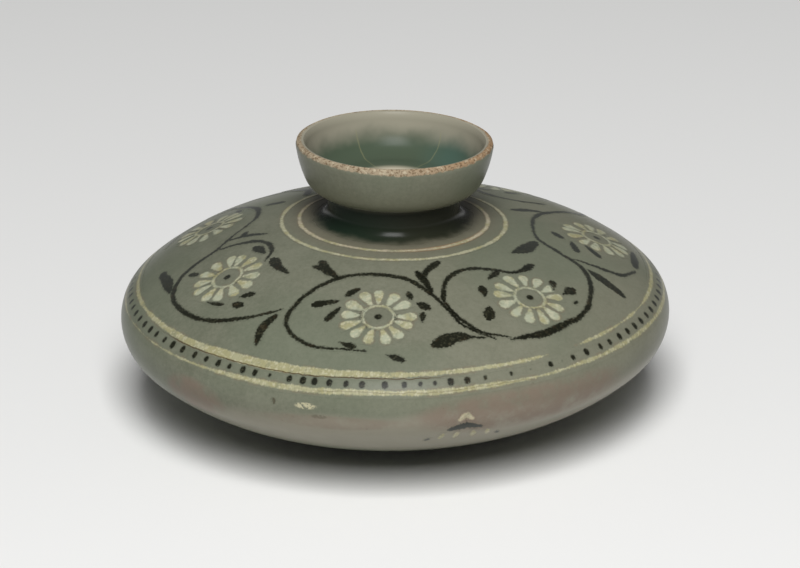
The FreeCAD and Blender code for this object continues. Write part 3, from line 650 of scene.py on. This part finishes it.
def laid(piece, bowl, samples):
    """Lays flat pads on the bowl, gives them their thickness and puts them in metres."""
    for vertex in piece.data.vertices:
        vertex.co = bowl.nearest(vertex.co)[0]
    pad_field(piece, samples)
    for vertex in piece.data.vertices:
        place, out = bowl.nearest(vertex.co)
        vertex.co = lean((place + out * LINE_LIFT) * MM)
    thicken = piece.modifiers.new("thickness", "SOLIDIFY")
    thicken.thickness = LINE_DEPTH * MM
    thicken.offset = -1
    bpy.ops.object.select_all(action="DESELECT")
    piece.select_set(True)
    bpy.context.view_layer.objects.active = piece
    bpy.ops.object.modifier_apply(modifier=thicken.name)
    smoothed(piece)


def joined(name, pads):
    """The pads of one piece as a single object."""
    bpy.ops.object.select_all(action="DESELECT")
    for pad in pads:
        pad.select_set(True)
    bpy.context.view_layer.objects.active = pads[0]
    if len(pads) > 1:
        bpy.ops.object.join()
    pads[0].name = name
    return pads[0]


def round_blank(corners):
    """A flat round pad a millimetre in radius, inset twice and closed in the middle."""
    bpy.ops.object.select_all(action="DESELECT")
    bpy.ops.mesh.primitive_circle_add(vertices=corners, radius=1, fill_type="NGON")
    bpy.ops.object.mode_set(mode="EDIT")
    bpy.ops.mesh.select_all(action="SELECT")
    bpy.ops.mesh.inset(thickness=0.3)
    bpy.ops.mesh.inset(thickness=0.3)
    bpy.ops.mesh.poke()
    bpy.ops.object.mode_set(mode="OBJECT")
    return bpy.context.object


def copied(blank):
    """A copy with its own mesh."""
    copy = blank.copy()
    copy.data = blank.data.copy()
    bpy.context.scene.collection.objects.link(copy)
    return copy


def tangents(place, out):
    """Directions round the bottle and uphill on its surface."""
    along = Vector((0, 0, 1)).cross(out).normalized()
    return along, out.cross(along)


def round_pad(blank, bowl, place, radius):
    """A copy of the round blank, laid with its middle at a place."""
    pad = copied(blank)
    spot, out = bowl.nearest(place)
    along, uphill = tangents(spot, out)
    wide = radius + PAD_MARGIN
    for vertex in pad.data.vertices:
        vertex.co = spot + along * (vertex.co.x * wide) + uphill * (vertex.co.y * wide)
    return pad


def on_plan(azimuth, share):
    """A place on the shoulder: degrees round from the front, and share of the body's radius."""
    turn = math.radians(azimuth)
    reach = share * BODY_RADIUS
    return Vector((reach * math.sin(turn), -reach * math.cos(turn), dome.height(reach)))


dot_azimuths = list(FRONT_DOTS)
azimuth = FRONT_DOTS[-1] + dot_pace
while azimuth < FRONT_DOTS[0] + 360 - dot_pace / 2:
    dot_azimuths.append(azimuth + DOT_STRAY * noise.noise(Vector((azimuth, 0, 0))))
    azimuth += dot_pace
dot_turn = math.radians(DOT_TURN)
dot_spot = dome.centres[0] + dome.radii[0] * Vector((math.cos(dot_turn), math.sin(dot_turn)))
dot_blank = round_blank(DOT_CORNERS)
dot_pads = []
dot_samples = []
for azimuth in dot_azimuths:
    turn = math.radians(azimuth)
    place = Vector((dot_spot.x * math.sin(turn), -dot_spot.x * math.cos(turn), WIDEST_HEIGHT + dot_spot.y))
    wobble = noise.noise_vector(place * 0.9)
    worn = WORN_DOTS.get(azimuth, 1)
    radius = DOT_RADIUS * (0.92 + 0.3 * wobble.x) * worn
    for rise in DOT_RISES:
        middle = place + Vector((0, 0, worn * (rise + 0.1 * wobble.z)))
        dot_samples.append((dome.nearest(middle)[0], radius))
    dot_pads.append(round_pad(dot_blank, dome, place, DOT_RADIUS))
bpy.data.objects.remove(dot_blank)
dots = joined("dots", dot_pads)
laid(dots, dome, dot_samples)
dot_glaze = Glaze("dot_slip")
depth = dot_glaze.written("depth")
dot_colour = black_over(dot_glaze, depth, dot_glaze.body_colour(), SOFT_GRAIN)
fixed(dots, dot_glaze.finish(dot_colour), "band_dots")

# Chrysanthemum flowers: seven round the shoulder. Each is a stamped ring with thirteen petals round it, wide
# and round at the tip, filled with white slip that came out cream or greenish under the glaze.
FLOWERS = [(-4.7, 0.715), (41.2, 0.722), (95, 0.742), (148, 0.72),
           (201.5, 0.715), (255, 0.70), (299.7, 0.685)]
PETAL_COUNT = 13
PETAL_REACHES = (3.05, 5.15)
PETAL_HALVES = (0.3, 0.88)
FLOWER_RING_RADIUS = 2.5
FLOWER_RING_WIDTH = 0.56
FLOWER_RING_CELLS = 64
STROKE_MARGIN = 0.3
SAMPLE_PACE = 0.22
PAD_CELLS_ACROSS = 8
END_SHARES = (0.25, 0.5, 0.75, 1)


def strip(samples, bowl, closed=False):
    """A flat strip along a stroke's samples, wider than the stroke by a margin at its sides and ends."""
    places = [place for place, half in samples]
    if not closed:
        first, last = samples[0][1], samples[-1][1]
        back = (places[0] - places[1]).normalized() * (first + STROKE_MARGIN)
        onward = (places[-1] - places[-2]).normalized() * (last + STROKE_MARGIN)
        before = [(places[0] + back * share, first) for share in END_SHARES[::-1]]
        samples = before + samples + [(places[-1] + onward * share, last) for share in END_SHARES]
        places = [place for place, half in samples]
    bpy.ops.object.select_all(action="DESELECT")
    bpy.ops.mesh.primitive_grid_add(x_subdivisions=len(samples) - 1, y_subdivisions=PAD_CELLS_ACROSS, size=2)
    pad = bpy.context.object
    end = len(places) - 1
    for vertex in pad.data.vertices:
        number = round((vertex.co.x + 1) / 2 * end)
        before = places[(number - 1) % end if closed else max(number - 1, 0)]
        after = places[(number + 1) % end if closed else min(number + 1, end)]
        place, half = samples[number]
        out = bowl.nearest(place)[1]
        side = out.cross((after - before).normalized())
        vertex.co = place + side * (vertex.co.y * (half + STROKE_MARGIN))
    if closed:
        bpy.ops.object.mode_set(mode="EDIT")
        bpy.ops.mesh.select_all(action="SELECT")
        bpy.ops.mesh.remove_doubles(threshold=SAME_PLACE)
        bpy.ops.object.mode_set(mode="OBJECT")
    return pad


def flower_ring(middle, along, uphill, seed):
    """Samples round a flower's stamped ring, a little out of round."""
    samples = []
    for number in range(FLOWER_RING_CELLS + 1):
        turn = 2 * math.pi * (number % FLOWER_RING_CELLS) / FLOWER_RING_CELLS
        way = along * math.cos(turn) + uphill * math.sin(turn)
        wobble = noise.noise_vector(Vector((math.cos(turn), math.sin(turn), seed * 3.1)) * 1.3)
        reach = FLOWER_RING_RADIUS * (1 + 0.05 * wobble.x)
        samples.append((middle + way * reach, FLOWER_RING_WIDTH / 2 * (1 + 0.3 * wobble.y)))
    return samples


def petal(middle, along, uphill, number, seed):
    """Samples from the root of a petal to its tip, each petal of its own length and width."""
    chance = noise.noise_vector(Vector((number * 2.3, seed * 1.7, 0.5)) * 1.37)
    turn = 2 * math.pi * (number + 0.28 * chance.x) / PETAL_COUNT + math.pi / 2
    way = along * math.cos(turn) + uphill * math.sin(turn)
    root, tip = PETAL_REACHES
    tip += 0.35 * chance.y
    steps = math.ceil((tip - root) / SAMPLE_PACE)
    samples = []
    for step in range(steps + 1):
        share = step / steps
        half = PETAL_HALVES[0] + (PETAL_HALVES[1] - PETAL_HALVES[0]) * share
        samples.append((middle + way * (root + (tip - root) * share), half * (1 + 0.22 * chance.z)))
    return samples


flower_glaze = Glaze("flower_slip")
depth = flower_glaze.written("depth")
flower_material = flower_glaze.finish(white_over(flower_glaze, depth, flower_glaze.body_colour()))
for number, (azimuth, share) in enumerate(FLOWERS, start=1):
    middle, out = dome.nearest(on_plan(azimuth, share))
    along, uphill = tangents(middle, out)
    ring_samples = flower_ring(middle, along, uphill, number)
    pads = [strip(ring_samples, dome, closed=True)]
    samples = list(ring_samples)
    for count in range(PETAL_COUNT):
        petal_samples = petal(middle, along, uphill, count, number)
        pads.append(strip(petal_samples, dome))
        samples += petal_samples
    flower = joined(f"flower_petals_{number}", pads)
    laid(flower, dome, [(dome.nearest(place)[0], half) for place, half in samples])
    fixed(flower, flower_material, f"flower_{number}")

# Flower eyes: one round spot in the middle of each flower's ring, punched and filled with black slip as the
# dots of the band are.
EYE_RADIUS = 0.6
EYE_CORNERS = 20

eye_blank = round_blank(EYE_CORNERS)
eye_glaze = Glaze("eye_slip")
depth = eye_glaze.written("depth")
eye_material = eye_glaze.finish(black_over(eye_glaze, depth, eye_glaze.body_colour(), SOFT_GRAIN))
for number, (azimuth, share) in enumerate(FLOWERS, start=1):
    place = on_plan(azimuth, share)
    eye = round_pad(eye_blank, dome, place, EYE_RADIUS)
    eye.name = f"eye_{number}"
    laid(eye, dome, [(dome.nearest(place)[0], EYE_RADIUS)])
    fixed(eye, eye_material, f"flower_eye_{number}")
bpy.data.objects.remove(eye_blank)

# Vines: black stems that run round each flower and on to the next, carved with a point in a free hand and
# filled with black slip. Round the fourth and fifth flowers they repeat those of the second and first.
VINE_WIDTH = 0.9
TIP_SHARE = 0.3
LEAF_TIP_SHARE = 0.15
UNEVEN = 0.3
HAND_STRAY = 0.12
LINE_CHECKS = 200
FRONT_STEMS = [
    [(-7, 0.857), (-20, 0.853), (-28, 0.80), (-30.2, 0.72), (-27, 0.61), (-19, 0.53), (-8, 0.503),
     (4, 0.525), (11.5, 0.605), (15.5, 0.70), (18, 0.78), (24.5, 0.848)],
    [(12.3, 0.62), (11, 0.53), (9.5, 0.485)],
    [(11, 0.54), (13, 0.49), (21, 0.437)],
]
FRONT_LEAVES = [
    (1.7, 0.35, [(-33.5, 0.468), (-27, 0.515), (-21, 0.543)]),
    (0.9, 0.4, [(-34.5, 0.505), (-31, 0.51), (-27, 0.52)]),
    (1.5, 0.22, [(-24.5, 0.685), (-17.5, 0.655)]),
    (1.3, 0.25, [(-18.7, 0.745), (-16.3, 0.68)]),
    (1.4, 0.5, [(-15.7, 0.625), (-12, 0.585)]),
    (1.0, 0.4, [(4.7, 0.60), (5.2, 0.635)]),
    (1.6, 0.6, [(7, 0.655), (10, 0.685)]),
    (1.0, 0.6, [(7.3, 0.745), (8, 0.70)]),
    (2.5, 0.42, [(9, 0.842), (12, 0.829), (15, 0.82), (18.5, 0.824)]),
    (0.5, 0.4, [(17.5, 0.823), (22, 0.838)]),
    (1.1, 0.7, [(-13.5, 0.83), (-9.5, 0.845)]),
    (1.1, 0.6, [(-2, 0.87), (2, 0.89)]),
    (1.5, 0.45, [(9.6, 0.49), (11, 0.53), (12.6, 0.60)]),
    (1.3, 0.3, [(21, 0.437), (14.5, 0.48), (11.5, 0.53)]),
    (0.7, 0.4, [(14.8, 0.64), (17.5, 0.74), (21.5, 0.81), (28, 0.852)]),
]
RIGHT_STEMS = [
    [(15.6, 0.64), (18, 0.57), (24, 0.52), (32, 0.51), (40, 0.545), (46, 0.592), (56, 0.598)],
    [(28, 0.86), (40, 0.868), (52, 0.85), (62, 0.79), (68.5, 0.72), (72.5, 0.62), (78, 0.535), (86, 0.507)],
]
RIGHT_LEAVES = [
    (1.1, 0.35, [(41, 0.56), (34.5, 0.585)]),
    (1.5, 0.7, [(28.5, 0.665), (30, 0.615)]),
    (1.7, 0.3, [(25.3, 0.765), (27.5, 0.715)]),
    (1.2, 0.7, [(50.5, 0.73), (53.5, 0.695)]),
    (1.7, 0.75, [(51.5, 0.762), (56, 0.762)]),
    (0.8, 0.5, [(51.5, 0.812), (53, 0.81)]),
    (2.1, 0.6, [(69.3, 0.74), (68.5, 0.80), (68, 0.885)]),
    (2.4, 0.6, [(57, 0.503), (66, 0.52), (75, 0.53)]),
    (1.4, 0.7, [(45, 0.588), (51, 0.598), (56, 0.592)]),
    (1.4, 0.5, [(29.5, 0.861), (38, 0.868), (48, 0.857)]),
    (0.9, 0.5, [(15.2, 0.665), (15.8, 0.63), (18, 0.57)]),
]
SIDE_STEMS = [
    [(86, 0.507), (97, 0.51), (106, 0.545), (111, 0.60), (115, 0.70), (118, 0.79), (124, 0.85)],
    [(71.5, 0.68), (74.8, 0.80), (78, 0.85), (84, 0.875)],
]
SIDE_LEAVES = [
    (1.5, 0.4, [(85.5, 0.615), (89.5, 0.575)]),
    (1.4, 0.3, [(78, 0.675), (84.5, 0.645)]),
    (1.3, 0.3, [(80.5, 0.75), (85, 0.695)]),
    (1.6, 0.4, [(111.5, 0.465), (112.5, 0.53), (112, 0.585)]),
    (1.6, 0.4, [(86, 0.875), (97, 0.88)]),
]
LEFT_STEMS = [
    [(-92, 0.54), (-86, 0.59), (-80.5, 0.65), (-78.3, 0.72), (-75, 0.79), (-69, 0.85), (-60, 0.867),
     (-50, 0.853), (-41, 0.80), (-35, 0.75), (-32.8, 0.727)],
    [(-80, 0.65), (-77, 0.57), (-72, 0.51), (-65, 0.49), (-58, 0.515), (-55.3, 0.56)],
    [(-84, 0.60), (-81.5, 0.53), (-77, 0.47)],
]
LEFT_LEAVES = [
    (1.2, 0.4, [(-85.5, 0.535), (-82.5, 0.55)]),
    (1.4, 0.3, [(-68.5, 0.535), (-60, 0.53)]),
    (1.6, 0.22, [(-53.5, 0.537), (-48, 0.557), (-41, 0.57)]),
    (1.3, 0.6, [(-48.5, 0.73), (-45, 0.695)]),
    (1.4, 0.6, [(-48.5, 0.765), (-45, 0.76)]),
    (0.8, 0.6, [(-56, 0.80), (-50.5, 0.785)]),
    (1.6, 0.45, [(-33.1, 0.755), (-34.5, 0.82), (-33.4, 0.882)]),
    (1.3, 0.5, [(-73.5, 0.765), (-71, 0.745)]),
    (2.0, 0.3, [(-84, 0.845), (-76, 0.84), (-71, 0.852)]),
]
FAR_STEMS = [
    [(-128, 0.80), (-124, 0.70), (-119, 0.60), (-113, 0.54), (-105, 0.512), (-98, 0.512), (-92, 0.54)],
    [(-124.5, 0.71), (-121, 0.80), (-114, 0.85), (-104, 0.865)],
]
FAR_LEAVES = [
    (1.5, 0.4, [(-121, 0.47), (-118, 0.53)]),
    (1.3, 0.6, [(-119, 0.66), (-115.5, 0.625)]),
]


def turned_on(angle, lines):
    """Stems drawn once more, further round the bottle."""
    return [[(azimuth + angle, share) for azimuth, share in points] for points in lines]


def leaves_turned_on(angle, leaves):
    """Leaves drawn once more, further round the bottle."""
    return [(width, full, [(azimuth + angle, share) for azimuth, share in points])
            for width, full, points in leaves]


def between(points, share):
    """The place at this share of a smooth line through the points."""
    spot = share * (len(points) - 1)
    number = min(int(spot), len(points) - 2)
    rest = spot - number
    b, c = points[number], points[number + 1]
    a = points[number - 1] if number else 2 * b - c
    d = points[number + 2] if number + 2 < len(points) else 2 * c - b
    return 0.5 * (2 * b + (c - a) * rest + (2 * a - 5 * b + 4 * c - d) * rest ** 2
                  + (3 * b - a - 3 * c + d) * rest ** 3)


def brushed(points, width, bowl=dome, full=0.5, tip=TIP_SHARE):
    """Samples of a stroke through places on the bowl, widest at this share of it and drawn in at its tips."""
    swelling = math.log(0.5) / math.log(full)
    rough = [between(points, step / LINE_CHECKS) for step in range(LINE_CHECKS + 1)]
    length = sum((after - before).length for before, after in zip(rough, rough[1:]))
    steps = max(4, math.ceil(length / SAMPLE_PACE))
    samples = []
    for step in range(steps + 1):
        share = step / steps
        place = bowl.nearest(between(points, share))[0]
        wobble = noise.noise_vector(place * 0.55)
        fullness = math.sin(math.pi * share ** swelling) ** 0.6
        half = width / 2 * (tip + (1 - tip) * fullness) * (1 + UNEVEN * wobble.x)
        samples.append((bowl.nearest(place + HAND_STRAY * wobble)[0], half))
    return samples


repeat_right = FLOWERS[3][0] - FLOWERS[1][0]
repeat_front = FLOWERS[4][0] - FLOWERS[0][0]
SCROLL = [
    (FRONT_STEMS, FRONT_LEAVES),
    (RIGHT_STEMS, RIGHT_LEAVES),
    (SIDE_STEMS, SIDE_LEAVES),
    (turned_on(repeat_right, RIGHT_STEMS), leaves_turned_on(repeat_right, RIGHT_LEAVES)),
    (turned_on(repeat_front, FRONT_STEMS), leaves_turned_on(repeat_front, FRONT_LEAVES)),
    (FAR_STEMS, FAR_LEAVES),
    (LEFT_STEMS, LEFT_LEAVES),
]
vine_strokes = [
    [brushed([on_plan(*spot) for spot in line], VINE_WIDTH) for line in stems]
    for stems, leaves in SCROLL
]
leaf_strokes = [
    [brushed([on_plan(*spot) for spot in line], width, full=full, tip=LEAF_TIP_SHARE)
     for width, full, line in leaves]
    for stems, leaves in SCROLL
]
scroll_strokes = [stroke for strokes in vine_strokes + leaf_strokes for stroke in strokes]
black_samples = [sample for stroke in scroll_strokes for sample in stroke]
scroll_glaze = Glaze("scroll_slip")
depth = scroll_glaze.written("depth")
scroll_material = scroll_glaze.finish(black_over(scroll_glaze, depth, scroll_glaze.body_colour()))
for number, strokes in enumerate(vine_strokes, start=1):
    vine = joined(f"stems_{number}", [strip(stroke, dome) for stroke in strokes])
    laid(vine, dome, black_samples)
    fixed(vine, scroll_material, f"vine_{number}")

# Leaves: short tapering touches inside and outside the stems, cut with the same point and filled with the
# same black slip.
for number, strokes in enumerate(leaf_strokes, start=1):
    leaf = joined(f"leaf_touches_{number}", [strip(stroke, dome) for stroke in strokes])
    laid(leaf, dome, black_samples)
    fixed(leaf, scroll_material, f"leaves_{number}")

# Sprays on the belly below the band, three round the bottle: a white crown over a black wing leaf, white
# stalks and two black tips, much worn.
SPRAY_AZIMUTHS = [14, 134, 254]
SPRAY_WHITE = [
    (1.1, [(-1.1, -1.7), (0, -0.9), (1.1, -1.7)]),
    (0.8, [(-3.4, -4.6), (-3.7, -6.8)]),
    (0.8, [(-1.2, -4.5), (-1.3, -6.9)]),
    (0.8, [(1.5, -4.5), (1.6, -6.9)]),
    (0.8, [(3.8, -4.6), (4.1, -6.8)]),
]
SPRAY_BLACK = [
    (1.2, [(-2.7, -3.5), (0, -2.9), (2.7, -3.5)]),
    (0.7, [(-5.5, -6.2), (-5.9, -7.3)]),
    (0.7, [(5.7, -6.2), (6.1, -7.3)]),
]


def on_belly(azimuth, across, up):
    """A place on the belly, millimetres across from an azimuth and up from the widest circle."""
    drop = belly.nearest(Vector((0, -BODY_RADIUS, WIDEST_HEIGHT + up)))[0]
    reach = math.sqrt(max(0, drop.y ** 2 - across ** 2))
    spot = Vector((across, -reach, WIDEST_HEIGHT + up))
    spot.rotate(Matrix.Rotation(math.radians(azimuth), 3, "Z"))
    return belly.nearest(spot)[0]


for colour_name, touches in (("white", SPRAY_WHITE), ("black", SPRAY_BLACK)):
    strokes = [brushed([on_belly(azimuth, *spot) for spot in line], width, belly)
               for azimuth in SPRAY_AZIMUTHS for width, line in touches]
    samples = [sample for stroke in strokes for sample in stroke]
    spray = joined(f"spray_{colour_name}", [strip(stroke, belly) for stroke in strokes])
    laid(spray, belly, samples)
    glaze = Glaze(f"spray_{colour_name}_slip")
    depth = glaze.written("depth")
    over = white_over if colour_name == "white" else black_over
    shades = {"tint": (176, 166, 140)} if colour_name == "white" else {}
    fixed(spray, glaze.finish(over(glaze, depth, glaze.body_colour(), **shades)),
          f"belly_sprays_{colour_name}")

# Kiln spur stubs: three broken chips of the quartz lumps the bottle stood on in the kiln, stuck in the glaze
# under its base. They are hidden in the photograph.
SPUR_HEIGHT = 0.5
SPUR_CIRCLE = 9
SPUR_COUNT = 3
SPUR_ROUGH = 0.12
SPUR_CORNERS = 20
CHIP_RADIUS = 0.99
GRITS_PER_METRE = 2200

chip_middle = FOOT_RECESS - SPUR_HEIGHT / 2
chips = []
for number in range(SPUR_COUNT):
    turn = 2 * math.pi * number / SPUR_COUNT
    spot = Vector((SPUR_CIRCLE * math.cos(turn), SPUR_CIRCLE * math.sin(turn), chip_middle))
    bpy.ops.mesh.primitive_cylinder_add(vertices=SPUR_CORNERS, radius=CHIP_RADIUS, depth=SPUR_HEIGHT,
                                        location=spot, end_fill_type="TRIFAN")
    chip = bpy.context.object
    bpy.ops.object.transform_apply(location=True, rotation=True, scale=True)
    bpy.ops.object.mode_set(mode="EDIT")
    bpy.ops.mesh.subdivide(number_cuts=2)
    bpy.ops.object.mode_set(mode="OBJECT")
    for vertex in chip.data.vertices:
        shove = noise.noise_vector(vertex.co * 1.7) * SPUR_ROUGH
        shove.z = max(shove.z, 0)
        vertex.co = (vertex.co + shove) * MM
    chips.append(chip)
spurs = joined("spur_chips", chips)
quartz = bpy.data.materials.new("quartz_grit")
quartz.use_nodes = True
shader = quartz.node_tree.nodes["Principled BSDF"]
start = Socket(quartz.node_tree, None)
grit = start.node("ShaderNodeTexCoord", {}, {}, output="Object").cloud(GRITS_PER_METRE, 3.0, 0.7)
stops = [(0.4, paint(120, 104, 84)[:3]), (0.6, paint(196, 190, 176)[:3])]
tone = start.node("ShaderNodeValToRGB", {"stops": stops}, {0: grit})
quartz.node_tree.links.new(tone.output, shader.inputs["Base Color"])
shader.inputs["Roughness"].default_value = 0.75
fixed(spurs, quartz, "kiln_spur_stubs")
smoothed(spurs)

# Camera: a long lens in front of the bottle, looking down on it from a little above and turned by a degree.
LENS = 197.4
LOOK_DOWN = math.radians(21.14)
ROLL = math.radians(-0.94)
CAMERA_PLACE = (0.87, -671.5, 280.5)
camera_data = bpy.data.cameras.new("camera")
camera_data.lens = LENS
camera_data.clip_start = 0.01
camera = bpy.data.objects.new("camera", camera_data)
bpy.context.scene.collection.objects.link(camera)
camera.matrix_world = (
    Matrix.Translation(Vector(CAMERA_PLACE) * MM)
    @ Matrix.Rotation(math.pi / 2 - LOOK_DOWN, 4, "X")
    @ Matrix.Rotation(ROLL, 4, "Z")
)
bpy.context.scene.camera = camera

# Floor and light: pale paper under a large soft lamp, high in front, and an even white room.
PAPER_SIZE = 6
PAPER_COLOUR = (0.8, 0.8, 0.79, 1)
PAPER_ROUGHNESS = 0.9
LAMP_PLACE = (0.01, -0.74, 0.945)
LAMP_SIZE = (0.5, 0.8)
LAMP_WATTS = 18.2
ROOM_STRENGTH = 0.11
bpy.ops.object.select_all(action="DESELECT")
bpy.ops.mesh.primitive_plane_add(size=PAPER_SIZE, location=(0, 0, 0))
floor = bpy.context.object
floor.name = "floor"
floor_material = bpy.data.materials.new("pale_paper")
floor_material.use_nodes = True
floor_shader = floor_material.node_tree.nodes["Principled BSDF"]
floor_shader.inputs["Base Color"].default_value = PAPER_COLOUR
floor_shader.inputs["Roughness"].default_value = PAPER_ROUGHNESS
floor.data.materials.append(floor_material)

lamp_data = bpy.data.lights.new("softbox", "AREA")
lamp_data.shape = "RECTANGLE"
lamp_data.size, lamp_data.size_y = LAMP_SIZE
lamp_data.energy = LAMP_WATTS
lamp = bpy.data.objects.new("softbox", lamp_data)
bpy.context.scene.collection.objects.link(lamp)
lamp.location = LAMP_PLACE
lamp.rotation_euler = lamp.location.to_track_quat("Z", "Y").to_euler()
world = bpy.data.worlds.new("room")
world.use_nodes = True
bpy.context.scene.world = world
room_shader = world.node_tree.nodes["Background"]
room_shader.inputs["Color"].default_value = (1, 1, 1, 1)
room_shader.inputs["Strength"].default_value = ROOM_STRENGTH
bpy.context.scene.view_settings.view_transform = "Standard"
